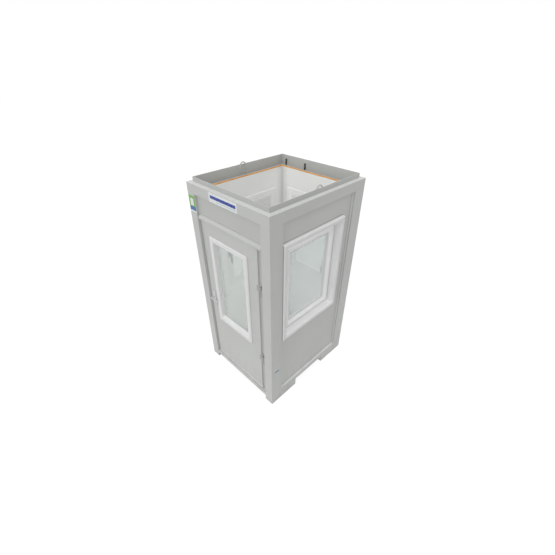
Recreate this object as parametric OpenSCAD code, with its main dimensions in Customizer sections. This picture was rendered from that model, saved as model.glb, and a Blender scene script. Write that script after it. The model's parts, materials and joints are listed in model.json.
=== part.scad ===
// Guard cabin with a steel frame, insulated walls, three windows, one glazed door and an open roof ring.
// Millimetres, +Z up, origin on the ground at the middle of the footprint.
// The door is on the -Y face, and the offset window is on the +X face.

/* [Cabin] */
// Width over the corner posts, along X
cabin_w = 1228; // [1150:1:1500]
// Depth over the corner posts, along Y
cabin_d = 1405; // [1350:1:1800]
// Height from the ground to the ledge of the roof beams
body_h = 2540; // [2450:1:2800]
// Distance from the post faces back to the wall panels
panel_recess = 28; // [20:1:36]
// Thickness of the insulated wall panels
panel_t = 62; // [40:1:90]
// Thickness of the white inside lining
lining_t = 10; // [6:1:16]

/* [Corner posts] */
// Width of a post on the front and back faces
post_w_front = 117; // [100:1:130]
// Width of a post on the side faces
post_w_side = 162; // [120:1:164]
// How far the returns of a post run in from its faces
post_return = 60; // [45:1:80]
// Sheet thickness of the posts
post_sheet = 5; // [3:0.5:8]
// Thickness of the plate under each post
foot_plate_t = 6; // [4:1:12]

/* [Roof ring] */
// Height of the roof beams below their ledge
beam_h = 108; // [90:1:130]
// Width of the ledge on top of the beams
ledge_w = 50; // [35:1:70]
// Height of the upstand above the ledge
upstand_h = 50; // [30:1:80]
// Thickness of the upstand
upstand_t = 6; // [4:0.5:10]
// Sheet thickness of the beams
beam_sheet = 4; // [3:0.5:6]
// Distance from the ledge down to the top of the wall head
wall_head_drop = 69; // [50:1:80]
// Thickness of the wall head
wall_head_t = 12; // [8:1:20]
// Width of the timber edge on the inner side of the wall head
wall_head_w = 10; // [8:1:30]

/* [Base and floor] */
// Height of the side base rails
side_rail_h = 162; // [145:1:180]
// Top of the front and back base rails above the ground
end_rail_top = 115; // [105:1:125]
// Height of the front and back base rails
end_rail_h = 43; // [35:1:60]
// Sheet thickness of the base rails
rail_sheet = 4; // [3:0.5:6]
// Width of the lower lips of the base rails
rail_lip = 50; // [30:1:70]
// Width of the fork passage through the side rails
fork_w = 536; // [400:1:640]
// Height of the fork passage
fork_h = 103; // [80:1:105]
// Depth of the fork passage lining plates
fork_liner_depth = 60; // [50:1:80]
// Number of floor joists
joist_count = 5; // [3:1:7]
// Width of a floor joist
joist_w = 50; // [30:1:80]
// Height of a floor joist
joist_h = 28; // [20:1:30]
// Gap between the fork passage and the joists
joist_gap = 7; // [5:1:12]
// Thickness of the floor board
deck_t = 18; // [15:1:24]
// Thickness of the floor covering
covering_t = 4; // [2:0.5:6]

/* [Windows] */
// Gap between the right window and the front post
right_window_front_gap = 5; // [5:1:100]
// Gap between the right window and the back post
right_window_back_gap = 150; // [60:1:260]
// Gap between the back window and the posts beside it
back_window_side_gap = 87; // [40:1:150]
// Gap between the windows and the roof beams
window_head_gap = 221; // [120:1:320]
// Bottom of the window casings above the ground
window_z = 1013; // [800:1:1100]
// Width of the casing face
casing_w = 48; // [40:1:60]
// How far the casing stands out from the post faces
casing_proud = 15; // [5:1:25]
// Width of the recessed frame face between casing and sash
groove_w = 62; // [40:1:70]
// Width of the sash bars
sash_w = 64; // [58:1:72]
// Depth from the casing face to the sash face
reveal_depth = 70; // [60:1:75]
// Thickness of the double glazing
glazing_t = 22; // [16:1:24]
// Thickness of a pane
pane_t = 4; // [3:1:6]

/* [Door] */
// Space between the leaf and the post on the hinge side
hinge_side_space = 80; // [72:1:100]
// Space between the leaf and the post on the lock side
lock_side_space = 27; // [20:1:60]
// Thickness of the door leaf
leaf_t = 40; // [36:1:46]
// Distance from the post faces back to the leaf
leaf_recess = 24; // [18:1:28]
// Bottom of the leaf above the ground
leaf_z = 152; // [150:1:170]
// Height of the panel over the door
header_h = 211; // [150:1:300]
// Height of the door frame head
head_h = 48; // [40:1:80]
// Gap between the door window and the lock edge of the leaf
door_window_lock_gap = 129; // [110:1:220]
// Gap between the door window and the hinge edge of the leaf
door_window_hinge_gap = 144; // [90:1:220]
// Gap between the door window and the top of the leaf
door_window_top_gap = 154; // [100:1:250]
// Gap between the door window and the bottom of the leaf
door_window_bottom_gap = 680; // [500:1:800]
// Face width of the door window frame
door_bead_w = 55; // [45:1:65]
// How far the door window frame stands out from the leaf
door_bead_proud = 18; // [10:1:22]
// Thickness of the door glass
door_glass_t = 6; // [4:1:8]
// Diameter of the hinge barrels
barrel_d = 16; // [14:1:20]
// Diameter of the hinge pins
pin_d = 8; // [6:1:10]
// Height of a hinge
hinge_h = 108; // [80:1:140]
// Height of the lever spindle above the ground
lever_z = 1150; // [1000:1:1200]
// Distance from the lock edge of the leaf to the lever spindle
lever_backset = 61; // [55:1:80]
// Length of the lever grips
lever_len = 112; // [90:1:130]

/* [Fittings] */
// Bar diameter of the lifting eyes
eye_bar_d = 14; // [10:1:18]
// Outside width of a lifting eye
eye_w = 95; // [80:1:120]
// Height of a lifting eye above the rim
eye_above_rim = 30; // [26:1:45]
// Diameter of the cable conduits
conduit_d = 18; // [12:1:32]
// Length of the cable conduits
conduit_len = 72; // [60:1:100]

/* [Hidden] */
$fn = 48;

// Running clearance of pins and spindles, and clearance of a bar against a sheet
running_fit = 0.1;
seat_gap = 0.2;
// How far a cutting shape runs past the face that it cuts
overcut = 1;
// Clearances of the swinging leaf
leaf_hinge_gap = 9;
leaf_lock_gap = 8;
leaf_top_gap = 7;
leaf_back_gap = 6;
leaf_sill_gap = 6;

// Heights
beam_z = body_h - beam_h;
rim_z = body_h + upstand_h;
wall_head_z = body_h - wall_head_drop;
lining_top_z = wall_head_z - wall_head_t;
joist_z = fork_h + joist_gap;
deck_z = joist_z + joist_h;
deck_top_z = deck_z + deck_t;
header_z = beam_z - header_h;
head_z = header_z - head_h;
leaf_top_z = head_z - leaf_top_gap;

// Depths behind the post faces
panel_back = panel_recess + panel_t;
lining_back = panel_back + lining_t;
upstand_back = ledge_w + upstand_t;

// Lengths between the posts
side_span = cabin_d - 2 * post_w_side;
end_span = cabin_w - 2 * post_w_front;

// Windows
window_h = beam_z - window_head_gap - window_z;
window_mid_z = window_z + window_h / 2;
side_window_w = side_span - right_window_front_gap - right_window_back_gap;
back_window_w = end_span - 2 * back_window_side_gap;
right_window_x = (right_window_front_gap - right_window_back_gap) / 2;
wall_edge_lap = 20;
edge_bevel = 7;
groove_depth = 19;
glass_setback = 22;
sash_lip = 2;
sash_slope_w = 34;
glass_bite = 12;
frame_inside_proud = 8;
sash_inside_proud = 6;
spacer_w = 14;
sash_offset = casing_w + groove_w;
sash_face = reveal_depth - casing_proud;
groove_floor = sash_face + groove_depth;
glass_offset = sash_offset + sash_w - glass_bite;
glass_face = sash_face + glass_setback;
glass_back = glass_face + glazing_t;
window_back = max(lining_back, glass_back);
frame_back = window_back + frame_inside_proud;
sash_back = window_back + sash_inside_proud;
handle_plate_w = 28;
handle_plate_h = 66;
handle_plate_t = 10;
handle_neck_d = 18;
handle_reach = 36;
handle_grip_t = 14;
handle_grip_w = 20;
handle_grip_len = 120;
handle_below_mid = 43;
handle_z = window_mid_z - handle_below_mid;
handle_stile_inset = 20;
handle_offset = sash_offset + handle_stile_inset;

// Door
leaf_right = end_span / 2 - hinge_side_space;
leaf_left = -end_span / 2 + lock_side_space;
leaf_back = leaf_recess + leaf_t;
door_window_left = leaf_left + door_window_lock_gap;
door_window_right = leaf_right - door_window_hinge_gap;
door_window_bottom = leaf_z + door_window_bottom_gap;
door_window_top = leaf_top_z - door_window_top_gap;
door_window_w = door_window_right - door_window_left;
door_window_h = door_window_top - door_window_bottom;
door_bead_face = leaf_recess - door_bead_proud;
door_bead_inside = 10;
door_bead_back = leaf_back + door_bead_inside;
door_glass_face = leaf_back - door_glass_t;
jamb_face = 40;
jamb_right = leaf_right + leaf_hinge_gap;
jamb_left = leaf_left - leaf_lock_gap;
stop_lap = 22;
stop_face = leaf_back + leaf_back_gap;
threshold_face = 18;
threshold_slope = 8;
threshold_top = leaf_z - leaf_sill_gap;
cap_sheet = 4;
cap_face = 2;
cap_drip = 18;
cap_end_gap = 10;
hinge_reach = 53;
hinge_x = leaf_right + hinge_reach;
hinge_depth = 2;
hinge_plate_t = 4;
hinge_plate_depth = 54;
hinge_gap = 0.5;
hinge_half = (hinge_h - hinge_gap) / 2;
hinge_bottom_gap = 494;
hinge_top_gap = 408;
hinge_heights = [leaf_z + hinge_bottom_gap, leaf_top_z - hinge_top_gap - hinge_h];
pin_top_gap = 2;
lever_x = leaf_left + lever_backset;
lever_neck_d = 18;
lever_neck_gap = 1;
lever_spindle_d = 9;
lever_bore_play = 1;
lever_reach = 42;
lever_grip_t = 16;
lever_grip_h = 18;
lever_plate_t = 8;
lever_plate_w = 44;
lever_plate_h = 220;
lever_plate_below = 130;

// Fittings
conduit_wall_gap = 30;
conduit_spacing = 308;
conduit_x = -cabin_w / 2 + lining_back + conduit_wall_gap;
eye_leg_below_rim = 110;
eye_radius = (eye_w - eye_bar_d) / 2;

// Sheet profiles: a path in the section plane, thickened to its left with mitred bends
function unit(v) = v / norm(v);
function left_of(a, b) = let (d = unit(b - a)) [-d[1], d[0]];
function bend(p, m, n, t) = p + (m + n) * t / (1 + m * n);
function inner_point(path, i, t) =
    i == 0 ? path[0] + t * left_of(path[0], path[1])
    : i == len(path) - 1 ? path[i] + t * left_of(path[i - 1], path[i])
    : bend(path[i], left_of(path[i - 1], path[i]), left_of(path[i], path[i + 1]), t);
function sheet(path, t) =
    concat(path, [for (i = [len(path) - 1 : -1 : 0]) inner_point(path, i, t)]);

// Places its children on a wall: x runs to the right seen from outside, y runs inwards, z is up
module on_wall(side) {
    turn = side == "front" ? 0 : side == "right" ? 90 : side == "back" ? 180 : 270;
    reach = (side == "front" || side == "back" ? cabin_d : cabin_w) / 2;
    rotate([0, 0, turn])
        translate([0, -reach, 0])
            children();
}

// A bar along x with a section given as points of depth and height
module bar(length, section) {
    translate([-length / 2, 0, 0])
        rotate([90, 0, 90])
            linear_extrude(length)
                polygon(section);
}

// A box from one corner to another
module block(from, to) {
    translate(from)
        cube(to - from);
}

// The two opposite edges of a frame in section: points of distance in from the edge and depth
function spread(size, edge) = concat(
    [for (p = edge) [p[0] - size / 2, p[1]]],
    [for (i = [len(edge) - 1 : -1 : 0]) [size / 2 - edge[i][0], edge[i][1]]]
);

// A rectangular block whose four sides all follow the same edge, so that its corners are mitred
module edged_block(width, height, edge) {
    intersection() {
        translate([0, 0, -height / 2])
            linear_extrude(height)
                polygon(spread(width, edge));
        translate([-width / 2, 0, 0])
            rotate([90, 0, 90])
                linear_extrude(width)
                    polygon([for (p = spread(height, edge)) [p[1], p[0]]]);
    }
}

// A rectangular frame with mitred corners, between an outer edge and an inner edge
module mitred_frame(width, height, outer, inner) {
    first = inner[0];
    last = inner[len(inner) - 1];
    through = concat([[first[0], first[1] - overcut]], inner, [[last[0], last[1] + overcut]]);
    difference() {
        edged_block(width, height, outer);
        edged_block(width, height, through);
    }
}

// Corner posts
module corner_post() {
    path = [
        [post_w_front, post_return],
        [post_w_front, 0],
        [0, 0],
        [0, post_w_side],
        [post_return, post_w_side]
    ];
    turned = [for (i = [len(path) - 1 : -1 : 0]) path[i]];
    color("lightgrey") {
        linear_extrude(beam_z)
            polygon(sheet(turned, post_sheet));
        cube([post_w_front, post_w_side, foot_plate_t]);
    }
}

module post_front_left() {
    translate([-cabin_w / 2, -cabin_d / 2, 0])
        corner_post();
}

module post_front_right() {
    mirror([1, 0, 0])
        post_front_left();
}

module post_back_left() {
    mirror([0, 1, 0])
        post_front_left();
}

module post_back_right() {
    mirror([1, 0, 0])
        post_back_left();
}

// Roof ring: box beams with a ledge and an upstand, mitred at the corners
module roof_beam(length) {
    outline = [
        [0, beam_z],
        [upstand_back, beam_z],
        [upstand_back, rim_z],
        [ledge_w, rim_z],
        [ledge_w, body_h],
        [0, body_h]
    ];
    color("lightgrey")
        intersection() {
            difference() {
                bar(length, outline);
                bar(length + 2 * overcut, [
                    [beam_sheet, beam_z + beam_sheet],
                    [ledge_w, beam_z + beam_sheet],
                    [ledge_w, body_h - beam_sheet],
                    [beam_sheet, body_h - beam_sheet]
                ]);
            }
            translate([0, 0, beam_z])
                linear_extrude(beam_h + upstand_h)
                    polygon([
                        [-length / 2, 0],
                        [length / 2, 0],
                        [length / 2 - upstand_back, upstand_back],
                        [upstand_back - length / 2, upstand_back]
                    ]);
        }
}

module roof_beam_front() {
    on_wall("front")
        roof_beam(cabin_w);
}

module roof_beam_back() {
    on_wall("back")
        roof_beam(cabin_w);
}

module roof_beam_left() {
    on_wall("left")
        roof_beam(cabin_d);
}

module roof_beam_right() {
    on_wall("right")
        roof_beam(cabin_d);
}

// Front and back base rails: folded channels between the posts
module end_rail() {
    bottom = end_rail_top - end_rail_h;
    path = [
        [lining_back, end_rail_top],
        [0, end_rail_top],
        [0, bottom],
        [rail_lip, bottom]
    ];
    color("lightgrey")
        bar(end_span, sheet(path, rail_sheet));
}

module base_rail_front() {
    on_wall("front")
        end_rail();
}

module base_rail_back() {
    on_wall("back")
        end_rail();
}

// Side base rails: taller channels with a lined fork passage
module side_rail() {
    path = [
        [panel_back, side_rail_h],
        [0, side_rail_h],
        [0, 0],
        [rail_lip, 0]
    ];
    half = fork_w / 2;
    color("lightgrey") {
        difference() {
            bar(side_span, sheet(path, rail_sheet));
            block([-half, -overcut, -overcut], [half, rail_lip + overcut, fork_h]);
        }
        difference() {
            block([-half - rail_sheet, 0, 0], [half + rail_sheet, fork_liner_depth, fork_h + rail_sheet]);
            block([-half, -overcut, -overcut], [half, fork_liner_depth + overcut, fork_h]);
        }
    }
}

module base_rail_left() {
    on_wall("left")
        side_rail();
}

module base_rail_right() {
    on_wall("right")
        side_rail();
}

// Floor
module floor_joists() {
    length = cabin_w - 2 * rail_sheet;
    spacing = (side_span - joist_w) / (joist_count - 1);
    color("dimgrey")
        for (i = [0 : joist_count - 1])
            translate([-length / 2, -side_span / 2 + i * spacing, joist_z])
                cube([length, joist_w, joist_h]);
}

module floor_deck() {
    width = cabin_w - 2 * panel_back;
    depth = cabin_d - 2 * panel_back;
    color("burlywood")
        translate([-width / 2, -depth / 2, deck_z])
            cube([width, depth, deck_t]);
}

module floor_covering() {
    width = cabin_w - 2 * lining_back;
    depth = cabin_d - 2 * lining_back;
    color("dimgrey")
        translate([-width / 2, -depth / 2, deck_top_z])
            cube([width, depth, covering_t]);
}

// Walls: insulated panels with a tongue behind the roof beams, and a white lining inside
module wall_panel(length, bottom) {
    color("silver")
        bar(length, [
            [panel_recess, bottom],
            [panel_back, bottom],
            [panel_back, lining_top_z],
            [upstand_back, lining_top_z],
            [upstand_back, beam_z],
            [panel_recess, beam_z]
        ]);
}

module lining_board(length) {
    color("white")
        block([-length / 2, panel_back, deck_top_z], [length / 2, lining_back, lining_top_z]);
}

module window_cut(x, width) {
    half = width / 2 - wall_edge_lap;
    block(
        [x - half, panel_recess - overcut, window_z + wall_edge_lap],
        [x + half, lining_back + overcut, window_z + window_h - wall_edge_lap]
    );
}

module right_wall_panel() {
    on_wall("right")
        difference() {
            wall_panel(side_span, side_rail_h);
            window_cut(right_window_x, side_window_w);
        }
}

module left_wall_panel() {
    on_wall("left")
        difference() {
            wall_panel(side_span, side_rail_h);
            window_cut(0, side_window_w);
        }
}

module back_wall_panel() {
    on_wall("back")
        difference() {
            wall_panel(end_span, end_rail_top);
            window_cut(0, back_window_w);
        }
}

module header_panel() {
    on_wall("front")
        wall_panel(end_span, header_z);
}

module right_lining() {
    on_wall("right")
        difference() {
            lining_board(cabin_d - 2 * panel_back);
            window_cut(right_window_x, side_window_w);
        }
}

module left_lining() {
    on_wall("left")
        difference() {
            lining_board(cabin_d - 2 * panel_back);
            window_cut(0, side_window_w);
        }
}

module back_lining() {
    on_wall("back")
        difference() {
            lining_board(cabin_w - 2 * lining_back);
            window_cut(0, back_window_w);
        }
}

module front_lining() {
    on_wall("front")
        difference() {
            lining_board(cabin_w - 2 * lining_back);
            block(
                [jamb_left + stop_lap, panel_back - overcut, deck_top_z - overcut],
                [jamb_right - stop_lap, lining_back + overcut, head_z - stop_lap]
            );
        }
}

// Wall head: a steel cap behind the upstand, and a timber edge along the lining
module wall_ring(outer_inset, inner_inset) {
    translate([0, 0, lining_top_z])
        linear_extrude(wall_head_t)
            difference() {
                square([cabin_w - 2 * outer_inset, cabin_d - 2 * outer_inset], center = true);
                square([cabin_w - 2 * inner_inset, cabin_d - 2 * inner_inset], center = true);
            }
}

module wall_cap() {
    color("lightgrey")
        wall_ring(upstand_back, lining_back - wall_head_w);
}

module wall_head() {
    color("orange")
        wall_ring(lining_back - wall_head_w, lining_back);
}

// Doorway
module door_frame() {
    color("lightgrey")
        on_wall("front")
            difference() {
                block([-end_span / 2, jamb_face, end_rail_top], [end_span / 2, panel_back, header_z]);
                block(
                    [jamb_left, jamb_face - overcut, end_rail_top - overcut],
                    [jamb_right, panel_back + overcut, head_z]
                );
            }
}

module door_stop() {
    color("lightgrey")
        on_wall("front")
            difference() {
                block([jamb_left, stop_face, deck_top_z], [jamb_right, panel_back, head_z]);
                block(
                    [jamb_left + stop_lap, stop_face - overcut, deck_top_z - overcut],
                    [jamb_right - stop_lap, panel_back + overcut, head_z - stop_lap]
                );
            }
}

module threshold() {
    color("silver")
        on_wall("front")
            translate([(jamb_left + jamb_right) / 2, 0, 0])
                bar(jamb_right - jamb_left, [
                    [threshold_face, end_rail_top],
                    [panel_back, end_rail_top],
                    [panel_back, threshold_top],
                    [threshold_face + threshold_slope, threshold_top],
                    [threshold_face, threshold_top - threshold_slope]
                ]);
}

module drip_cap() {
    path = [
        [cap_face, head_z],
        [cap_face, head_z + cap_drip],
        [panel_recess, header_z - cap_sheet],
        [jamb_face, header_z - cap_sheet]
    ];
    turned = [for (i = [len(path) - 1 : -1 : 0]) path[i]];
    color("lightgrey")
        on_wall("front")
            bar(end_span - 2 * cap_end_gap, sheet(turned, cap_sheet));
}

// Door leaf with its window
module door_leaf() {
    lap = wall_edge_lap;
    color("silver")
        on_wall("front")
            difference() {
                block([leaf_left, leaf_recess, leaf_z], [leaf_right, leaf_back, leaf_top_z]);
                block(
                    [door_window_left + lap, leaf_recess - overcut, door_window_bottom + lap],
                    [door_window_right - lap, leaf_back + overcut, door_window_top - lap]
                );
                lever_round(leaf_recess - overcut, leaf_back + overcut, lever_spindle_d + 2 * lever_bore_play);
            }
}

module door_window_frame() {
    middle = [(door_window_left + door_window_right) / 2, 0, (door_window_bottom + door_window_top) / 2];
    outer = [
        [edge_bevel, door_bead_face],
        [0, door_bead_face + edge_bevel],
        [0, leaf_recess],
        [wall_edge_lap, leaf_recess],
        [wall_edge_lap, leaf_back],
        [0, leaf_back],
        [0, door_bead_back]
    ];
    inner = [
        [door_bead_w - edge_bevel, door_bead_face],
        [door_bead_w, door_bead_face + edge_bevel],
        [door_bead_w, door_glass_face],
        [door_bead_w - glass_bite, door_glass_face],
        [door_bead_w - glass_bite, leaf_back],
        [door_bead_w, leaf_back],
        [door_bead_w, door_bead_back]
    ];
    color("white")
        on_wall("front")
            translate(middle)
                mitred_frame(door_window_w, door_window_h, outer, inner);
}

module door_glass() {
    inset = door_bead_w - glass_bite;
    color("lightcyan", 0.4)
        on_wall("front")
            block(
                [door_window_left + inset, door_glass_face, door_window_bottom + inset],
                [door_window_right - inset, leaf_back, door_window_top - inset]
            );
}

// Lever set: plates on both sides of the leaf, and levers on one spindle
module lever_plate(face) {
    difference() {
        block(
            [lever_x - lever_plate_w / 2, face, lever_z - lever_plate_below],
            [lever_x + lever_plate_w / 2, face + lever_plate_t, lever_z - lever_plate_below + lever_plate_h]
        );
        lever_round(face - overcut, face + lever_plate_t + overcut, lever_neck_d + 2 * running_fit);
    }
}

module door_handle_plates() {
    color("grey")
        on_wall("front") {
            lever_plate(leaf_recess - lever_plate_t);
            lever_plate(leaf_back);
        }
}

module lever_grip(face) {
    radius = lever_grip_h / 2;
    translate([lever_x, face, lever_z])
        rotate([-90, 0, 0]) {
            cylinder(r = radius, h = lever_grip_t);
            translate([lever_len - radius, 0, 0])
                cylinder(r = radius, h = lever_grip_t);
            translate([0, -radius, 0])
                cube([lever_len - radius, lever_grip_h, lever_grip_t]);
        }
}

module lever_round(from, to, diameter) {
    translate([lever_x, from, lever_z])
        rotate([-90, 0, 0])
            cylinder(d = diameter, h = to - from);
}

module door_lever() {
    outer_neck = leaf_recess - lever_neck_gap;
    inner_neck = leaf_back + lever_neck_gap;
    outer_grip = leaf_recess - lever_reach - lever_grip_t;
    inner_grip = leaf_back + lever_reach;
    color("grey")
        on_wall("front") {
            lever_grip(outer_grip);
            lever_grip(inner_grip);
            lever_round(outer_grip + lever_grip_t, outer_neck, lever_neck_d);
            lever_round(inner_neck, inner_grip, lever_neck_d);
            lever_round(outer_neck, inner_neck, lever_spindle_d);
        }
}

// Lift-off hinges: the lower halves carry the pins, the upper halves turn with the leaf
module hinge_frame_halves() {
    color("grey")
        on_wall("front")
            for (z = hinge_heights)
                translate([hinge_x, hinge_depth, z]) {
                    cylinder(d = barrel_d, h = hinge_half);
                    cylinder(d = pin_d, h = hinge_h - pin_top_gap);
                    block(
                        [0, -hinge_plate_t / 2, 0],
                        [end_span / 2 - hinge_x, hinge_plate_t / 2, hinge_half]
                    );
                }
}

module hinge_leaf_halves() {
    color("grey")
        on_wall("front")
            for (z = hinge_heights)
                translate([hinge_x, hinge_depth, z + hinge_half + hinge_gap])
                    difference() {
                        union() {
                            cylinder(d = barrel_d, h = hinge_half);
                            block([-hinge_reach, -hinge_plate_t / 2, 0], [0, hinge_plate_t / 2, hinge_half]);
                            block(
                                [-hinge_reach, -hinge_plate_t / 2, 0],
                                [hinge_plate_t - hinge_reach, hinge_plate_depth - hinge_depth, hinge_half]
                            );
                        }
                        translate([0, 0, -overcut])
                            cylinder(d = pin_d + 2 * running_fit, h = hinge_half + 2 * overcut);
                    }
}

// Windows
module window_frame(width) {
    outer = [
        [edge_bevel, -casing_proud],
        [0, edge_bevel - casing_proud],
        [0, panel_recess],
        [wall_edge_lap, panel_recess],
        [wall_edge_lap, lining_back],
        [0, lining_back],
        [0, frame_back]
    ];
    inner = [
        [casing_w - edge_bevel, -casing_proud],
        [casing_w, edge_bevel - casing_proud],
        [casing_w, groove_floor],
        [sash_offset, groove_floor],
        [sash_offset, frame_back]
    ];
    color("white")
        translate([0, 0, window_mid_z])
            mitred_frame(width, window_h, outer, inner);
}

module window_sash(width) {
    outer = [
        [0, sash_face],
        [0, sash_back]
    ];
    inner = [
        [sash_w - sash_slope_w, sash_face],
        [sash_w, glass_face - sash_lip],
        [sash_w, glass_face],
        [sash_w - glass_bite, glass_face],
        [sash_w - glass_bite, glass_back],
        [sash_w, glass_back],
        [sash_w - edge_bevel, sash_back]
    ];
    color("white")
        translate([0, 0, window_mid_z])
            mitred_frame(width - 2 * sash_offset, window_h - 2 * sash_offset, outer, inner);
}

module window_panes(width) {
    half = width / 2 - glass_offset;
    color("lightcyan", 0.4)
        for (face = [glass_face, glass_back - pane_t])
            block(
                [-half, face, window_z + glass_offset],
                [half, face + pane_t, window_z + window_h - glass_offset]
            );
}

module window_spacer(width) {
    edge = [glass_face + pane_t, glass_back - pane_t];
    color("silver")
        translate([0, 0, window_mid_z])
            mitred_frame(
                width - 2 * glass_offset,
                window_h - 2 * glass_offset,
                [for (depth = edge) [0, depth]],
                [for (depth = edge) [spacer_w, depth]]
            );
}

module window_handle(x) {
    color("grey")
        translate([x, sash_back, handle_z]) {
            block(
                [-handle_plate_w / 2, 0, -handle_plate_h / 2],
                [handle_plate_w / 2, handle_plate_t, handle_plate_h / 2]
            );
            rotate([-90, 0, 0])
                cylinder(d = handle_neck_d, h = handle_reach);
            block(
                [-handle_grip_w / 2, handle_reach, -handle_grip_len + handle_grip_w / 2],
                [handle_grip_w / 2, handle_reach + handle_grip_t, handle_grip_w / 2]
            );
        }
}

module right_window_frame() {
    on_wall("right")
        translate([right_window_x, 0, 0])
            window_frame(side_window_w);
}

module left_window_frame() {
    on_wall("left")
        window_frame(side_window_w);
}

module back_window_frame() {
    on_wall("back")
        window_frame(back_window_w);
}

module right_window_sash() {
    on_wall("right")
        translate([right_window_x, 0, 0])
            window_sash(side_window_w);
}

module left_window_sash() {
    on_wall("left")
        window_sash(side_window_w);
}

module back_window_sash() {
    on_wall("back")
        window_sash(back_window_w);
}

module window_glass() {
    on_wall("right")
        translate([right_window_x, 0, 0])
            window_panes(side_window_w);
    on_wall("left")
        window_panes(side_window_w);
    on_wall("back")
        window_panes(back_window_w);
}

module glazing_spacers() {
    on_wall("right")
        translate([right_window_x, 0, 0])
            window_spacer(side_window_w);
    on_wall("left")
        window_spacer(side_window_w);
    on_wall("back")
        window_spacer(back_window_w);
}

// The handles sit on the rear bar of the right window, and on the left bar of the others seen from inside
module window_handles() {
    on_wall("right")
        window_handle(right_window_x + side_window_w / 2 - handle_offset);
    on_wall("left")
        window_handle(side_window_w / 2 - handle_offset);
    on_wall("back")
        window_handle(back_window_w / 2 - handle_offset);
}

// Lifting eyes of bent bar inside the left and right upstands
module lifting_eye() {
    depth = upstand_back + eye_bar_d / 2 + seat_gap;
    spring_z = rim_z + eye_above_rim - eye_w / 2;
    leg = eye_leg_below_rim + spring_z - rim_z;
    color("lightgrey")
        translate([0, depth, spring_z]) {
            rotate([90, 0, 0])
                rotate_extrude(angle = 180)
                    translate([eye_radius, 0])
                        circle(d = eye_bar_d);
            for (x = [-eye_radius, eye_radius])
                translate([x, 0, -leg])
                    cylinder(d = eye_bar_d, h = leg);
        }
}

module lifting_eyes() {
    on_wall("left")
        lifting_eye();
    on_wall("right")
        lifting_eye();
}

// Cable conduits standing on the wall cap inside the back upstand
module cable_conduits() {
    color("dimgrey")
        for (x = [conduit_x, conduit_x + conduit_spacing])
            translate([x, cabin_d / 2 - upstand_back - conduit_d / 2 - seat_gap, wall_head_z])
                cylinder(d = conduit_d, h = conduit_len);
}

post_front_left();
post_front_right();
post_back_left();
post_back_right();
roof_beam_front();
roof_beam_back();
roof_beam_left();
roof_beam_right();
base_rail_front();
base_rail_back();
base_rail_left();
base_rail_right();
floor_joists();
floor_deck();
floor_covering();
right_wall_panel();
left_wall_panel();
back_wall_panel();
header_panel();
right_lining();
left_lining();
back_lining();
front_lining();
wall_cap();
wall_head();
door_frame();
door_stop();
threshold();
drip_cap();
door_leaf();
door_window_frame();
door_glass();
door_handle_plates();
door_lever();
hinge_frame_halves();
hinge_leaf_halves();
right_window_frame();
left_window_frame();
back_window_frame();
right_window_sash();
left_window_sash();
back_window_sash();
window_glass();
glazing_spacers();
window_handles();
lifting_eyes();
cable_conduits();
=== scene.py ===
"""Looks of the guard cabin: materials, softened edges, small fittings, light and camera.

Everything is in metres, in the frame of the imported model: +Z up, the door on the -Y face.
"""

import json
import math

import bmesh
import bpy
from mathutils import Euler, Matrix, Vector


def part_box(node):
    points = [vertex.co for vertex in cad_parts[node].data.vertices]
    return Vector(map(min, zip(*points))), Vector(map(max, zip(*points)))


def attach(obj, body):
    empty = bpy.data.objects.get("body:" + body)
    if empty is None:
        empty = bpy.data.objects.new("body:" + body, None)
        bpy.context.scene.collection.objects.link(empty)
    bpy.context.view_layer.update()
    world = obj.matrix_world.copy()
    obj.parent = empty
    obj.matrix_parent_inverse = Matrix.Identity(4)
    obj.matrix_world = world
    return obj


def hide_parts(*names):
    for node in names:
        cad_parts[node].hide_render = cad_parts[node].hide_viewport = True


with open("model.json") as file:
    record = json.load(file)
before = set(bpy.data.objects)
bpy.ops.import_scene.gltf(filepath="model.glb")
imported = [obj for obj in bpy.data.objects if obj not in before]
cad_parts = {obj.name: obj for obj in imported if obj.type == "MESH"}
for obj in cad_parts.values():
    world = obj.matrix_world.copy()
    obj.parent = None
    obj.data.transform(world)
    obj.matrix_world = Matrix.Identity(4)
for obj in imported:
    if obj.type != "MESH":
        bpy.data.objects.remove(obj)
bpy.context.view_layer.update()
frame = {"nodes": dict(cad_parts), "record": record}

MM = 0.001
WALL_TURNS = {"front": 0, "right": 90, "back": 180, "left": 270}
WALL_DEPTH = 0.25
WINDOW_WALLS = ("right", "left", "back")
SHARP_ANGLE = math.radians(35)

# Places that come from the frame

post_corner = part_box("post_front_left")[0]
HALF_WIDTH = -post_corner.x
HALF_DEPTH = -post_corner.y
beam_low, beam_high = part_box("roof_beam_front")
wall_cap_low, wall_cap_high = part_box("wall_cap")
RING_MARGIN = 2 * MM
RING_HALF_WIDTH = wall_cap_high.x + RING_MARGIN
RING_HALF_DEPTH = wall_cap_high.y + RING_MARGIN
RING_BASE = wall_cap_low.z
RING_TOP = beam_high.z
UPSTAND_HEIGHT = 50 * MM
LEDGE = RING_TOP - UPSTAND_HEIGHT


def on_wall(side):
    """From a wall's own frame (x right seen from outside, y inwards, z up) to the model's frame."""
    reach = HALF_DEPTH if side in ("front", "back") else HALF_WIDTH
    turn = Matrix.Rotation(math.radians(WALL_TURNS[side]), 4, "Z")
    return turn @ Matrix.Translation((0, -reach, 0))


def wall_box(node, side):
    """Lowest and highest corner, in a wall's own frame, of what a CAD node has on that wall."""
    to_wall = on_wall(side).inverted()
    points = [to_wall @ vertex.co for vertex in frame["nodes"][node].data.vertices]
    near = [p for p in points if p.y < WALL_DEPTH]
    low = Vector([min(p[i] for p in near) for i in range(3)])
    high = Vector([max(p[i] for p in near) for i in range(3)])
    return low, high


# Kinds of material

FADE = 1 * MM
NOISE_LOW, NOISE_HIGH = 0.3, 0.7
OCCLUSION_CLOSED, OCCLUSION_OPEN = 0.4, 0.98
OCCLUSION_SAMPLES = 8


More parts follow.
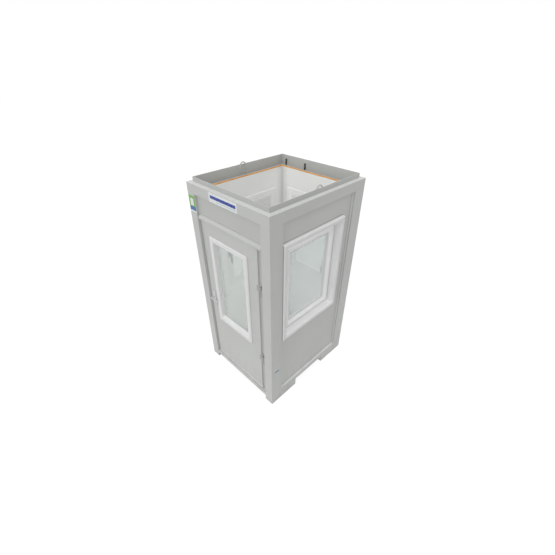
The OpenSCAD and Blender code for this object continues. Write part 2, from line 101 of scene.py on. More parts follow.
class Look:
    """A Principled material, with short calls for the nodes that vary it over the surface."""

    def __init__(self, name, color, roughness, metallic=0.0, **sockets):
        self.material = bpy.data.materials.new(name)
        self.material.use_nodes = True
        self.material.diffuse_color = (*color, 1)
        self.tree = self.material.node_tree
        self.shader = self.tree.nodes["Principled BSDF"]
        self.shader.inputs["Base Color"].default_value = (*color, 1)
        self.shader.inputs["Roughness"].default_value = roughness
        self.shader.inputs["Metallic"].default_value = metallic
        for socket, value in sockets.items():
            self.shader.inputs[socket.replace("_", " ")].default_value = value
        self.place = self.add("ShaderNodeTexCoord").outputs["Object"]
        self.normal = None

    def add(self, kind, **settings):
        node = self.tree.nodes.new(kind)
        for name, value in settings.items():
            setattr(node, name, value)
        return node

    def link(self, source, target):
        self.tree.links.new(source, target)

    def stretched(self, stretch):
        mapping = self.add("ShaderNodeMapping")
        mapping.inputs["Scale"].default_value = stretch
        self.link(self.place, mapping.inputs["Vector"])
        return mapping.outputs["Vector"]

    def noise(self, scale, detail=3.0, stretch=(1, 1, 1)):
        """Cloudy noise, with a scale in cycles per metre."""
        noise = self.add("ShaderNodeTexNoise")
        noise.inputs["Scale"].default_value = scale
        noise.inputs["Detail"].default_value = detail
        self.link(self.stretched(stretch), noise.inputs["Vector"])
        return noise.outputs["Fac"]

    def cells(self, scale):
        """Distance to the nearest of scattered points, for speckles and grains."""
        cells = self.add("ShaderNodeTexVoronoi")
        cells.inputs["Scale"].default_value = scale
        self.link(self.place, cells.inputs["Vector"])
        return cells.outputs["Distance"]

    def occlusion_shade(self, reach, depth):
        """Painted shade: 0 on open faces, up to a depth in corners and grooves narrower than a reach in
        metres.
        """
        hollow = self.add("ShaderNodeAmbientOcclusion", samples=OCCLUSION_SAMPLES)
        hollow.inputs["Distance"].default_value = reach
        return self.remap(hollow.outputs["AO"], OCCLUSION_CLOSED, OCCLUSION_OPEN, depth, 0.0)

    def axis(self, name):
        split = self.add("ShaderNodeSeparateXYZ")
        self.link(self.place, split.inputs["Vector"])
        return split.outputs[name]

    def near_middle(self, name, limit):
        """1 where the distance from the middle along an axis is under a limit, else 0."""
        size = self.add("ShaderNodeMath", operation="ABSOLUTE")
        self.link(self.axis(name), size.inputs[0])
        return self.remap(size.outputs["Value"], limit, limit + FADE, 1, 0)

    def between(self, value, low, high, level):
        """A level where a value is from low to high, else 0."""
        rise = self.remap(value, low - FADE, low)
        fall = self.remap(value, high, high + FADE, level, 0)
        return self.product(rise, fall)

    def remap(self, value, low, high, to_low=0.0, to_high=1.0):
        """The value's range from low to high, stretched to another range."""
        remap = self.add("ShaderNodeMapRange")
        numbers = {"From Min": low, "From Max": high, "To Min": to_low, "To Max": to_high}
        for socket, number in numbers.items():
            remap.inputs[socket].default_value = number
        self.link(value, remap.inputs["Value"])
        return remap.outputs["Result"]

    def spread(self, noise, to_low=0.0, to_high=1.0):
        """The usual range of a noise, stretched to another range."""
        return self.remap(noise, NOISE_LOW, NOISE_HIGH, to_low, to_high)

    def product(self, first, second):
        multiply = self.add("ShaderNodeMath", operation="MULTIPLY")
        self.link(first, multiply.inputs[0])
        self.link(second, multiply.inputs[1])
        return multiply.outputs["Value"]

    def blend(self, factor, first, second):
        """A colour between two others. Each is a colour or a socket."""
        mix = self.add("ShaderNodeMix", data_type="RGBA")
        self.link(factor, mix.inputs["Factor"])
        for socket, color in zip((mix.inputs[6], mix.inputs[7]), (first, second)):
            if isinstance(color, tuple):
                socket.default_value = (*color, 1)
            else:
                self.link(color, socket)
        return mix.outputs[2]

    def bump(self, height, distance):
        """Adds a relief to the surface. Distance is the relief's height in metres."""
        bump = self.add("ShaderNodeBump")
        bump.inputs["Distance"].default_value = distance
        bump.inputs["Strength"].default_value = 1
        self.link(height, bump.inputs["Height"])
        if self.normal is not None:
            self.link(self.normal, bump.inputs["Normal"])
        self.normal = bump.outputs["Normal"]

    def done(self, color=None, roughness=None):
        if color is not None:
            self.link(color, self.shader.inputs["Base Color"])
        if roughness is not None:
            self.link(roughness, self.shader.inputs["Roughness"])
        if self.normal is not None:
            self.link(self.normal, self.shader.inputs["Normal"])
        return self.material


def shade(color, factor):
    return tuple(channel * factor for channel in color)


def roof_ring_painted_light(look, tone, color):
    """Painted light on the roof ring: painted shade inside it, deepest at its base, and on the outside of
    its upstand, and a painted highlight on its ledge.
    """
    height = look.axis("Z")
    inside = look.product(look.near_middle("X", RING_HALF_WIDTH), look.near_middle("Y", RING_HALF_DEPTH))
    outside = look.remap(inside, 0, 1, 1, 0)
    # Painted shade inside the ring, darker towards its base.
    depth = look.product(inside, look.remap(height, RING_BASE, RING_TOP, 0.5, 0.18))
    inner = look.product(depth, look.remap(height, RING_BASE - FADE, RING_BASE))
    tone = look.blend(inner, tone, shade(color, 0.5))
    # Painted shade on the outer face of the upstand.
    upstand = look.between(height, LEDGE + 2 * FADE, RING_TOP - 2 * FADE, 0.19)
    tone = look.blend(look.product(upstand, outside), tone, shade(color, 0.5))
    # Painted highlight along the ledge.
    ledge = look.between(height, LEDGE - FADE, LEDGE + FADE, 0.9)
    return look.blend(look.product(ledge, outside), tone, shade(color, 1.22))


def paint(name, color, roughness, shade_in_corners=0.2):
    """Sprayed enamel on sheet steel: faint clouds and run-off, orange peel, painted shade in corners and
    grooves, and painted light on the roof ring.
    """
    look = Look(name, color, roughness)
    tone = look.blend(look.spread(look.noise(1.7, detail=4)), shade(color, 0.975), shade(color, 1.02))
    streaks = look.remap(look.noise(9, stretch=(1, 1, 0.06)), 0.45, 0.75)
    low_down = look.remap(look.axis("Z"), 0.02, 0.45, 0.5, 0.03)
    tone = look.blend(look.product(streaks, low_down), tone, shade(color, 0.72))
    # Painted shade: darker where the occlusion node finds corners and grooves.
    tone = look.blend(look.occlusion_shade(0.1, shade_in_corners), tone, shade(color, 0.5))
    # Painted shade and a painted highlight on the roof ring.
    tone = roof_ring_painted_light(look, tone, color)
    look.bump(look.noise(190, detail=2), 0.05 * MM)
    look.bump(look.noise(3.5, detail=1), 0.4 * MM)
    return look.done(tone, look.spread(look.noise(26, detail=4), roughness - 0.06, roughness + 0.08))


def moulded(name, color, roughness):
    """Extruded or moulded plastic: even colour with a faint cloud and a fine skin."""
    look = Look(name, color, roughness)
    tone = look.blend(look.spread(look.noise(5)), shade(color, 0.97), shade(color, 1.015))
    look.bump(look.noise(420, detail=2), 0.03 * MM)
    return look.done(tone, look.spread(look.noise(40), roughness - 0.05, roughness + 0.07))


def lining(name, color):
    """Coated wall board, with a fine pebbled skin and painted shade in its corners."""
    look = Look(name, color, 0.5)
    tone = look.blend(look.spread(look.noise(1.3)), shade(color, 0.98), shade(color, 1.01))
    # Painted shade in the room's corners, from the occlusion node.
    tone = look.blend(look.occlusion_shade(0.13, 0.7), tone, shade(color, 0.55))
    look.bump(look.cells(260), 0.06 * MM)
    return look.done(tone, look.spread(look.noise(12), 0.44, 0.58))


def timber(name, pale, dark, stretch):
    """Sawn softwood, with its grain drawn out along the boards."""
    look = Look(name, pale, 0.6)
    grain = look.noise(38, detail=5, stretch=stretch)
    pores = look.noise(240, stretch=stretch)
    tone = look.blend(look.remap(grain, 0.35, 0.65), dark, pale)
    tone = look.blend(look.remap(pores, 0.55, 0.8, 0, 0.35), tone, shade(dark, 0.6))
    look.bump(grain, 0.25 * MM)
    look.bump(pores, 0.12 * MM)
    return look.done(tone, look.spread(grain, 0.5, 0.7))


def vinyl(name, color):
    """Dark floor covering with pale chips, and scuffs along the walkway."""
    look = Look(name, color, 0.5)
    chips = look.remap(look.cells(210), 0.0, 0.28, 1, 0)
    tone = look.blend(chips, color, shade(color, 1.9))
    scuffs = look.remap(look.noise(3, detail=5), 0.5, 0.75, 0, 0.4)
    tone = look.blend(scuffs, tone, shade(color, 1.35))
    look.bump(look.cells(330), 0.08 * MM)
    return look.done(tone, look.spread(look.noise(7, detail=4), 0.38, 0.6))


def brushed(name, color, roughness, stretch=(1, 1, 1)):
    """Satin metal with fine brush lines along one direction."""
    look = Look(name, color, roughness, metallic=1.0)
    lines = look.noise(900, detail=2, stretch=stretch)
    tone = look.blend(look.spread(lines), shade(color, 0.9), shade(color, 1.06))
    look.bump(lines, 0.015 * MM)
    return look.done(tone, look.spread(look.noise(30), roughness - 0.07, roughness + 0.1))


def rubber(name, color):
    """Soft seals and sealant: dull, with a fine grain."""
    look = Look(name, color, 0.65)
    tone = look.blend(look.spread(look.noise(60)), shade(color, 0.96), shade(color, 1.04))
    look.bump(look.noise(700, detail=2), 0.04 * MM)
    return look.done(tone, look.spread(look.noise(90, detail=2), 0.58, 0.74))


def glass(name, tint, clarity):
    """Float glass with a film of dust in its roughness, and a pale diffuse veil where it is not clear, a
    painted reflection. Rays from lamps pass, so that the room behind it is lit.
    """
    # Painted reflection: the share that clarity leaves is a pale diffuse veil.
    look = Look(name, tint, 0.0, Transmission_Weight=clarity, IOR=1.45)
    smears = look.remap(look.noise(6, detail=4), 0.45, 0.8, 0.0, 0.02)
    look.done(roughness=smears)
    path = look.add("ShaderNodeLightPath")
    clear = look.add("ShaderNodeBsdfTransparent")
    clear.inputs["Color"].default_value = (*shade(tint, 0.98), 1)
    mix = look.add("ShaderNodeMixShader")
    look.link(path.outputs["Is Shadow Ray"], mix.inputs["Fac"])
    look.link(look.shader.outputs["BSDF"], mix.inputs[1])
    look.link(clear.outputs["BSDF"], mix.inputs[2])
    look.link(mix.outputs["Shader"], look.tree.nodes["Material Output"].inputs["Surface"])
    return look.material


# Materials. A few shades of the grey and the white follow the light in the photo

GREY = (0.530, 0.541, 0.524)
WHITE = (0.738, 0.741, 0.738)

painted_steel = paint("painted_steel", GREY, 0.42)
panel_paint = paint("panel_paint", shade(GREY, 1.01), 0.46)
# Painted shade: the header panel under the roof beam takes a darker copy of the grey.
header_shade_paint = paint("header_shade_paint", shade(GREY, 0.94), 0.46)
# Painted highlight: the foot strips take a lighter copy of the grey.
foot_highlight_paint = paint("foot_highlight_paint", shade(GREY, 1.16), 0.42, shade_in_corners=0.1)
# Partly dark joints and partly painted shade: the lines beside the panels' corner strips.
joint_shade_grey = paint("joint_shade_grey", shade(GREY, 0.74), 0.5)
# Painted shade: the hinges and their packers take a darker copy of the grey.
hinge_shade_paint = paint("hinge_shade_paint", shade(GREY, 0.68), 0.45, shade_in_corners=0.02)
door_frame_paint = paint("door_frame_paint", GREY, 0.42, shade_in_corners=0.04)
# Painted shade: the strips on the hinge-side jamb take a darker copy of the grey.
jamb_shade_paint = paint("jamb_shade_paint", shade(GREY, 0.85), 0.45, shade_in_corners=0.04)
# Painted light: the strip on the lock-side jamb takes a lighter copy of the grey.
lock_jamb_lit_paint = paint("lock_jamb_lit_paint", shade(GREY, 1.15), 0.45, shade_in_corners=0.02)

white_upvc = moulded("white_upvc", WHITE, 0.32)
# Painted highlight: the sash covers take a lighter copy of the white.
bead_lit_white = moulded("bead_lit_white", shade(WHITE, 1.1), 0.32)
# Painted light: the inside trims take a lighter copy of the white.
trim_lit_white = moulded("trim_lit_white", shade(WHITE, 1.14), 0.4)
# Painted shade: the casing skins take a slightly darker copy of the white.
skin_shade_white = moulded("skin_shade_white", shade(WHITE, 0.95), 0.4)
# Painted shade: the room's corner beads take a darker copy of the white.
room_corner_shade_white = moulded("room_corner_shade_white", shade(WHITE, 0.8), 0.5)
spacer_grey = moulded("spacer_grey", shade(WHITE, 0.95), 0.55)
joint_shadow = moulded("joint_shadow", shade(WHITE, 0.55), 0.6)
# Painted shade: the flat band round each sash.
sash_shade_grey = moulded("sash_shade_grey", (0.54, 0.545, 0.54), 0.5)
window_handle_grey = moulded("window_handle_grey", (0.03, 0.031, 0.032), 0.45)
conduit_plastic = moulded("conduit_plastic", (0.018, 0.018, 0.02), 0.45)
plate_white = moulded("plate_white", (0.76, 0.77, 0.78), 0.28)
plate_blue = moulded("plate_blue", (0.012, 0.045, 0.30), 0.3)
sticker_green = moulded("sticker_green", (0.17, 0.42, 0.06), 0.35)
sticker_blue = moulded("sticker_blue", (0.03, 0.13, 0.36), 0.35)
label_pale = moulded("label_pale", (0.42, 0.52, 0.60), 0.35)
label_dark = moulded("label_dark", (0.05, 0.055, 0.06), 0.35)

seal_rubber = rubber("seal_rubber", (0.022, 0.022, 0.023))
gasket_rubber = rubber("gasket_rubber", (0.62, 0.63, 0.625))
seal_grey = rubber("seal_grey", (0.47, 0.475, 0.47))
# Partly a sealant joint and partly painted shade: the dark fillets round the window casings.
edge_shade_grey = rubber("edge_shade_grey", (0.35, 0.355, 0.35))

white_lining = lining("white_lining", (0.83, 0.835, 0.82))
# Painted light: the left wall's lining takes a lighter copy of the board's white.
left_lining_lit_white = lining("left_lining_lit_white", (0.862, 0.867, 0.852))
wall_head_timber = timber("wall_head_timber", (0.84, 0.40, 0.075), (0.68, 0.28, 0.04), (0.35, 0.35, 1))
floor_board = timber("floor_board", (0.55, 0.36, 0.19), (0.36, 0.21, 0.1), (1, 0.12, 1))
floor_covering = vinyl("floor_covering", (0.11, 0.115, 0.115))
clear_glass = glass("clear_glass", (0.845, 0.87, 0.86), 0.84)
door_pane_glass = glass("door_pane_glass", (0.755, 0.785, 0.765), 0.76)

handle_metal = brushed("handle_metal", (0.60, 0.60, 0.60), 0.42, (1, 1, 0.03))
plain_aluminium = brushed("plain_aluminium", (0.50, 0.50, 0.50), 0.5, (0.03, 1, 1))
zinc = brushed("zinc", (0.62, 0.62, 0.60), 0.4)
lock_brass = brushed("lock_brass", (0.60, 0.47, 0.22), 0.35)


# CAD nodes: materials, and edges softened by modifiers

SLOT_MATERIALS = {
    "painted_steel": painted_steel,
    "panel_paint": panel_paint,
    "white_lining": white_lining,
    "wall_head_timber": wall_head_timber,
    "floor_board": floor_board,
    "floor_covering": floor_covering,
    "white_upvc": white_upvc,
    "clear_glass": clear_glass,
    "handle_metal": handle_metal,
    "plain_aluminium": plain_aluminium,
    "conduit_plastic": conduit_plastic,
}
# Some nodes take darker or lighter copies of their slot's material: painted shade on the header panel,
# hinges and windows, painted light on the left lining.
NODE_MATERIALS = {
    "door_glass": door_pane_glass,
    "door_frame": door_frame_paint,
    "left_lining": left_lining_lit_white,
    "header_panel": header_shade_paint,
    "glazing_spacers": spacer_grey,
    "window_handles": window_handle_grey,
    "hinge_frame_halves": hinge_shade_paint,
    "hinge_leaf_halves": hinge_shade_paint,
}
EDGE_RADII = {
    "painted_steel": 1.6 * MM,
    "panel_paint": 1.2 * MM,
    "white_upvc": 1.5 * MM,
    "handle_metal": 2.0 * MM,
    "plain_aluminium": 1.2 * MM,
    "wall_head_timber": 0.8 * MM,
    "white_lining": 0.6 * MM,
}
WELD_REACH = 0.01 * MM
FLAT_ANGLE = math.radians(0.5)


def soften(obj, radius):
    """Rounds an object's sharp edges: welds the faces, dissolves their triangles, bevels what is left."""
    weld = obj.modifiers.new("weld", "WELD")
    weld.merge_threshold = WELD_REACH
    flat = obj.modifiers.new("flat", "DECIMATE")
    flat.decimate_type = "DISSOLVE"
    flat.angle_limit = FLAT_ANGLE
    bevel = obj.modifiers.new("bevel", "BEVEL")
    bevel.width = radius
    bevel.segments = 2
    bevel.limit_method = "ANGLE"
    bevel.angle_limit = SHARP_ANGLE
    bevel.harden_normals = True


for part in frame["record"]["subparts"]:
    node, slot = part["node"], part["material_slot"]
    obj = frame["nodes"][node]
    obj.data.materials.clear()
    obj.data.materials.append(NODE_MATERIALS.get(node, SLOT_MATERIALS[slot]))
    if slot in EDGE_RADII:
        soften(obj, EDGE_RADII[slot])


# Builder of small pieces


class Piece:
    """A mesh built up from simple forms in one frame, which then rides on a body as one object."""

    def __init__(self, name, place=Matrix.Identity(4)):
        self.name = name
        self.place = place
        self.mesh = bmesh.new()

    def loft(self, rings, closed=False):
        """A skin over rings of equally many points, with its ends capped unless it closes on itself."""
        verts = [[self.mesh.verts.new(self.place @ Vector(point)) for point in ring] for ring in rings]
        pairs = list(zip(verts, verts[1:]))
        if closed:
            pairs.append((verts[-1], verts[0]))
        else:
            self.mesh.faces.new(verts[0])
            self.mesh.faces.new(verts[-1])
        count = len(rings[0])
        for near, far in pairs:
            for i in range(count):
                j = (i + 1) % count
                self.mesh.faces.new((near[i], near[j], far[j], far[i]))

    def ring(self, low, high, section):
        """A mitred rectangular ring in the wall's plane, with a section of points (inset, depth)."""
        corners = ((low.x, 1, low.z, 1), (high.x, -1, low.z, 1),
                   (high.x, -1, high.z, -1), (low.x, 1, high.z, -1))
        self.loft([[(x + sx * inset, depth, z + sz * inset) for inset, depth in section]
                   for x, sx, z, sz in corners], closed=True)

    def bar_x(self, start, end, section):
        """A bar along x with a section of points (depth, height)."""
        self.loft([[(x, depth, z) for depth, z in section] for x in (start, end)])

    def bar_z(self, start, end, section):
        """A bar along z with a section of points (x, depth)."""
        self.loft([[(x, depth, z) for x, depth in section] for z in (start, end)])

    def slab(self, low, high, bevel):
        """A flat plate on a wall, with its front edges chamfered."""
        x0, face, z0 = low
        x1, back, z1 = high

        def rectangle(inset, depth):
            return [(x0 + inset, depth, z0 + inset), (x1 - inset, depth, z0 + inset),
                    (x1 - inset, depth, z1 - inset), (x0 + inset, depth, z1 - inset)]

        self.loft([rectangle(bevel, face), rectangle(0, face + bevel), rectangle(0, back)])

    def turned(self, centre, direction, profile, segments, closed=False):
        """A turned form: points (radius, distance along the direction), revolved."""
        direction = Vector(direction).normalized()
        across = direction.orthogonal().normalized()
        other = direction.cross(across)
        angles = [2 * math.pi * i / segments for i in range(segments)]
        self.loft([[Vector(centre) + direction * along
                    + (across * math.cos(angle) + other * math.sin(angle)) * radius for angle in angles]
                   for radius, along in profile], closed)

    def screw(self, centre, direction, radius):
        """A low round screw head with a recess for the driver."""
        height = 0.5 * radius
        self.turned(centre, direction, [
            (radius * 0.05, height * 0.4), (radius * 0.38, height * 0.4), (radius * 0.45, height),
            (radius * 0.75, height), (radius, height * 0.5), (radius, 0)], segments=16)

    def done(self, material, slot, body="cabin", replaces=()):
        bmesh.ops.recalc_face_normals(self.mesh, faces=self.mesh.faces[:])
        mesh = bpy.data.meshes.new(self.name)
        self.mesh.to_mesh(mesh)
        self.mesh.free()
        mesh.polygons.foreach_set("use_smooth", [True] * len(mesh.polygons))
        mesh.set_sharp_from_angle(angle=SHARP_ANGLE)
        mesh.materials.append(material)
        obj = bpy.data.objects.new(self.name, mesh)
        bpy.context.scene.collection.objects.link(obj)
        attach(obj, body)
        if replaces:
            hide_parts(*replaces)


def grown(low, high, amount):
    """A box of the wall's plane, made larger on all four sides."""
    return low - Vector((amount, 0, amount)), high + Vector((amount, 0, amount))


def from_face(outline, face, inward=1):
    """An outline's points (inset, depth), set on a face. Inward is -1 where depth runs to the outside."""
    return [(inset, face + inward * depth) for inset, depth in outline]


# Wall panels

CORNER_STRIP = 15 * MM
JOINT_LINE = 8 * MM
LINE_PROUD = 0.5 * MM
POST_LINE_START = 6 * MM
CASING_ROOM = 11 * MM
FOOT_START = 3 * MM
FOOT_SHEET = 1 * MM


def panel_trim(side):
    """Sloped strips in the corners round a recessed panel, dark lines beside them that are partly joints and
    partly painted shade, and a foot strip in a lighter grey for a painted highlight.
    """
    low, high = wall_box(side + "_wall_panel", side)
    casing_low, casing_high = wall_box(side + "_window_frame", side)
    face = low.y
    strip_face = face - CORNER_STRIP
    line_face = face - LINE_PROUD
    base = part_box("base_rail_" + side)[1].z
    strip_top = base + CORNER_STRIP
    line_top = strip_top + JOINT_LINE
    strips = Piece("panel_corner_strips_" + side, on_wall(side))
    lines = Piece("panel_joint_shade_lines_" + side, on_wall(side))
    for edge, inward, casing_edge in ((low.x, 1, casing_low.x), (high.x, -1, casing_high.x)):
        strip_end = edge + inward * CORNER_STRIP
        line_end = strip_end + inward * JOINT_LINE
        proud = edge + inward * LINE_PROUD
        spans = [(base, beam_low.z)]
        if inward * (casing_edge - line_end) < 0:
            spans = [(base, casing_low.z - CASING_ROOM), (casing_high.z + CASING_ROOM, beam_low.z)]
        for start, end in spans:
            strips.bar_z(start, end, [(edge, strip_face), (edge, face), (strip_end, face)])
            lines.bar_z(start, end, [
                (strip_end, face), (strip_end, line_face), (line_end, line_face), (line_end, face)])
            lines.bar_z(start, end, [
                (edge, POST_LINE_START), (proud, POST_LINE_START), (proud, strip_face), (edge, strip_face)])
    lines.bar_x(low.x, high.x, [
        (face, strip_top), (line_face, strip_top), (line_face, line_top), (face, line_top)])
    foot = Piece("panel_foot_strip_" + side, on_wall(side))
    foot.bar_x(low.x, high.x, [
        (FOOT_START, base), (FOOT_START, base + FOOT_SHEET), (strip_face, base + FOOT_SHEET),
        (face, strip_top), (face, base)])
    foot.done(foot_highlight_paint, "painted_steel")
    strips.done(painted_steel, "painted_steel")
    lines.done(joint_shade_grey, "painted_steel")


# Windows. An outline's points are (inset from the outer edge, depth from a face)

GLASS_BITE = 12 * MM
FRAME_FACE_DROP = 19 * MM
SASH_WIDTH = 64 * MM
SASH_SLOPE_START = 30 * MM
SASH_SLOPE_DROP = 20 * MM
COVER_HEIGHT = 15 * MM
SKIN_PROUD = 0.4 * MM
SIDE_SEALANT = 36 * MM
HEAD_SEALANT = 8 * MM
TRIM_LAP = 7 * MM
MITRE_HALF_WIDTH = 0.35 * MM
MITRE_PROUD = 0.1 * MM
WEEP_CAP_INSET = 180 * MM
WEEP_CAP_HALF_LENGTH = 15 * MM
WEEP_CAP_LOW = 18 * MM
WEEP_CAP_HIGH = 28 * MM
WEEP_CAP_PROUD = 2.5 * MM
WEEP_CAP_BEVEL = 1.5 * MM

GASKET_LIP = ((0, 0), (3.5 * MM, 0), (2.5 * MM, 2.2 * MM), (0, 3 * MM))
SLOPE_GASKET = (
    (51 * MM, 12.3 * MM), (52 * MM, 11.4 * MM), (SASH_WIDTH, 18.5 * MM), (SASH_WIDTH, SASH_SLOPE_DROP))
FRAME_SHADE_BAND = ((-60 * MM, 0), (-58 * MM, -2.5 * MM), (-36 * MM, -2.5 * MM), (-34 * MM, 0))
SASH_COVER = (
    (-4 * MM, FRAME_FACE_DROP), (-4 * MM, 2 * MM - COVER_HEIGHT), (-2 * MM, -COVER_HEIGHT),
    (22 * MM, -COVER_HEIGHT), (44 * MM, 6 * MM), (44 * MM, 8.2 * MM),
    (SASH_SLOPE_START, 0), (0, 0), (0, FRAME_FACE_DROP))
CASING_SKIN = ((11 * MM, 0), (11.5 * MM, -SKIN_PROUD), (38.5 * MM, -SKIN_PROUD), (39 * MM, 0))
INSIDE_TRIM = (
    (-TRIM_LAP, 1 * MM), (-4 * MM, 4 * MM), (33 * MM, 4 * MM), (36 * MM, 0.5 * MM),
    (39 * MM, 3 * MM), (71 * MM, 3 * MM), (75 * MM, 0), (0, 0))


class Window:
    """The boxes and faces of one wall's window, in the wall's own frame."""

    def __init__(self, side):
        self.side = side
        self.casing = wall_box(side + "_window_frame", side)
        self.sash = wall_box(side + "_window_sash", side)
        self.glass = wall_box("window_glass", side)
        self.panel_face = wall_box(side + "_wall_panel", side)[0].y
        self.lining_face = wall_box(side + "_lining", side)[1].y
        self.casing_face, self.casing_back = (corner.y for corner in self.casing)
        self.sash_face, self.sash_back = (corner.y for corner in self.sash)
        self.frame_face = self.sash_face + FRAME_FACE_DROP

    def piece(self, name):
        return Piece(name + "_" + self.side, on_wall(self.side))


def sealant_fillet(height):
    """Outline of a sealant fillet of a height, as points (distance from the casing, depth)."""
    return ((0, -height), (3 * MM, 1 * MM - height), (10 * MM, 0), (0, 0))


def casing_sealant_and_shade(window):
    """Dark fillets between the casing and the panel, wide up the sides and narrow along head and sill,
    partly a sealant joint and partly painted shade on the casing's sides.
    """
    low, high = window.casing
    face = window.panel_face
    bead = window.piece("casing_sealant_and_shade")
    for x, outward in ((low.x, -1), (high.x, 1)):
        bead.bar_z(low.z, high.z, [
            (x + outward * across, face + depth) for across, depth in sealant_fillet(SIDE_SEALANT)])
    for z, outward in ((low.z, -1), (high.z, 1)):
        bead.bar_x(low.x, high.x, [
            (face + depth, z + outward * across) for across, depth in sealant_fillet(HEAD_SEALANT)])
    bead.done(edge_shade_grey, "white_upvc")


def add_gasket_lips(piece, low, high):
    """Lips on both sides of glazing, round the opening that it shows in."""
    for pane, inward in ((low.y, -1), (high.y, 1)):
        piece.ring(*grown(low, high, -GLASS_BITE), from_face(GASKET_LIP, pane, inward))


def glazing_gaskets(window):
    """Lips at the panes, and a strip on the slope of the sash beside them."""
    gaskets = window.piece("glazing_gaskets")
    add_gasket_lips(gaskets, *window.glass)
    gaskets.ring(*window.sash, from_face(SLOPE_GASKET, window.sash_face))
    gaskets.done(gasket_rubber, "white_upvc")


def sash_shade_bands(window):
    """A flat grey band on the frame's face, round the sash, as painted shade in the groove there."""
    seals = window.piece("sash_shade_bands")
    seals.ring(*window.sash, from_face(FRAME_SHADE_BAND, window.frame_face))
    seals.done(sash_shade_grey, "white_upvc")


def sash_covers(window):
    """Cover profiles that clip over the sash and slope towards the pane, in a lighter white for a painted
    highlight.
    """
    covers = window.piece("sash_covers")
    covers.ring(*window.sash, from_face(SASH_COVER, window.sash_face))
    covers.done(bead_lit_white, "white_upvc")


def casing_skins(window):
    """A thin skin on the flat face of the casing, in a slightly darker white: painted shade of a groove
    line.
    """
    skin = window.piece("casing_skins")
    skin.ring(*window.casing, from_face(CASING_SKIN, window.casing_face))
    skin.done(skin_shade_white, "white_upvc")


def inside_trim(window):
    """Trim round the window inside, over the edge of the lining, in a lighter white for painted light."""
    outline = from_face(INSIDE_TRIM, window.casing_back)
    trim = window.piece("inside_trim")
    trim.ring(*window.casing, [(-TRIM_LAP, window.lining_face), *outline, (0, window.lining_face)])
    trim.done(trim_lit_white, "white_upvc")


def inside_sash_joint(window):
    """A seal in the joint between the sash and the casing inside."""
    back = window.casing_back
    joint = window.piece("inside_sash_joint")
    joint.ring(*window.sash, [
        (-3 * MM, back), (-2 * MM, back + 1 * MM), (1 * MM, back + 1 * MM),
        (2.5 * MM, window.sash_back), (0, window.sash_back)])
    joint.done(gasket_rubber, "white_upvc")


def mitre_lines(window):
    """Weld lines across the corners of the casing, the frame's face and the sash covers."""
    half = MITRE_HALF_WIDTH
    outline = ((half, -MITRE_PROUD), (-half, -MITRE_PROUD), (-half, half), (half, half))
    lines = window.piece("mitre_lines")
    for (low, high), face, start, end in (
            (window.casing, window.casing_face - SKIN_PROUD, 12 * MM, 38 * MM),
            (window.casing, window.frame_face, 49 * MM, 94 * MM),
            (window.sash, window.sash_face - COVER_HEIGHT, -1 * MM, 21 * MM)):
        for x, sx in ((low.x, 1), (high.x, -1)):
            for z, sz in ((low.z, 1), (high.z, -1)):
                lines.loft([[(x + sx * (along - across), face + depth, z + sz * (along + across))
                             for across, depth in outline] for along in (start, end)])
    lines.done(joint_shadow, "white_upvc")


def weep_caps(window):
    """Small caps over the drain slots in the casing's sill."""
    low, high = window.casing
    caps = window.piece("weep_caps")
    for x in (low.x + WEEP_CAP_INSET, high.x - WEEP_CAP_INSET):
        caps.slab((x - WEEP_CAP_HALF_LENGTH, low.y - WEEP_CAP_PROUD, low.z + WEEP_CAP_LOW),
                  (x + WEEP_CAP_HALF_LENGTH, low.y, low.z + WEEP_CAP_HIGH), WEEP_CAP_BEVEL)
    caps.done(white_upvc, "white_upvc")


WINDOW_FITTINGS = (
    casing_sealant_and_shade, glazing_gaskets, sash_shade_bands, sash_covers, casing_skins,
    inside_trim, inside_sash_joint, mitre_lines, weep_caps)
for side in WINDOW_WALLS:
    panel_trim(side)
    window = Window(side)
    for fit in WINDOW_FITTINGS:
        fit(window)


# Room

CORNER_BEAD = 14 * MM
CORNER_BEAD_MIDDLE = 5 * MM


def room_corner_beads():
    """Cover beads in the four corners of the room, darker than the lining: painted shade in the corners."""
    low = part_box("floor_covering")[1].z
    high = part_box("left_lining")[1].z
    beads = Piece("room_corner_beads")
    half_lengths = {"front": HALF_WIDTH, "right": HALF_DEPTH, "back": HALF_WIDTH, "left": HALF_DEPTH}
    for side, half_length in half_lengths.items():
        beads.place = on_wall(side)
        face = wall_box(side + "_lining", side)[1].y
        corner = half_length - face
        beads.bar_z(low, high, [
            (corner, face), (corner - CORNER_BEAD, face),
            (corner - CORNER_BEAD_MIDDLE, face + CORNER_BEAD_MIDDLE), (corner, face + CORNER_BEAD)])
    beads.done(room_corner_shade_white, "white_lining")


room_corner_beads()


# Doorway

FRONT = on_wall("front")
leaf_low, leaf_high = wall_box("door_leaf", "front")
frame_low, frame_high = wall_box("door_frame", "front")
stop_low, stop_high = wall_box("door_stop", "front")
sill_low, sill_high = wall_box("threshold", "front")
drip_low, drip_high = wall_box("drip_cap", "front")
hinge_low = wall_box("hinge_frame_halves", "front")[0]
hinge_plate_low, hinge_plate_high = wall_box("hinge_leaf_halves", "front")
LEVER_LOW = wall_box("door_lever", "front")[0].z

